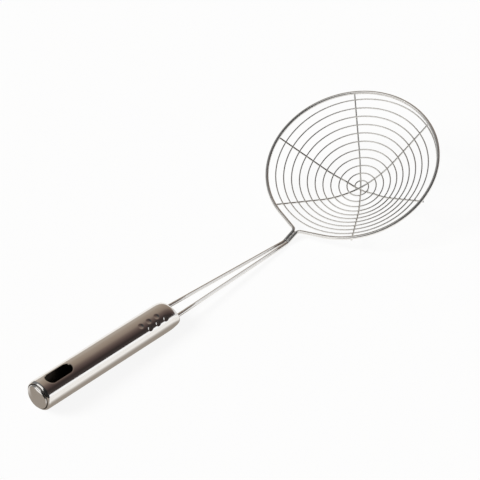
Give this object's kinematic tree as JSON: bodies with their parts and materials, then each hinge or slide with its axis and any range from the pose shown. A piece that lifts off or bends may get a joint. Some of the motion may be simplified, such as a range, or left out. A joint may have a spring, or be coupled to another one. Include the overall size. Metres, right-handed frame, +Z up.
{
  "type": "spiral wire strainer",
  "caption": "Shallow round dish of spiral wire on crossed ribs inside a heavy rim wire, carried by wire stems on a tubular steel handle, for lifting and draining food.",
  "frame": {"origin": "on the table, under the middle of the whole strainer's box", "axes": "+X along the tool from the handle's end towards the dish, +Y across it, +Z up; the strainer rests on the ribs under its dish and on the underside of the handle's nose"},
  "size_m": [0.4364, 0.153, 0.075],
  "materials": {
    "handle_steel": "polished, mirror-like with faint lengthwise polishing lines",
    "rim_steel": "drawn heavy wire, electropolished",
    "wire_steel": "drawn fine wire, electropolished",
    "plug_plastic": "moulded, matte"
  },
  "bodies": {
    "root": {"rim_wire": "rim_steel", "rib_1": "wire_steel", "rib_2": "wire_steel", "rib_3": "wire_steel", "spiral_wire": "wire_steel", "handle_tube": "handle_steel", "end_cap": "handle_steel", "wire_plug": "plug_plastic"}
  },
  "joints": []
}
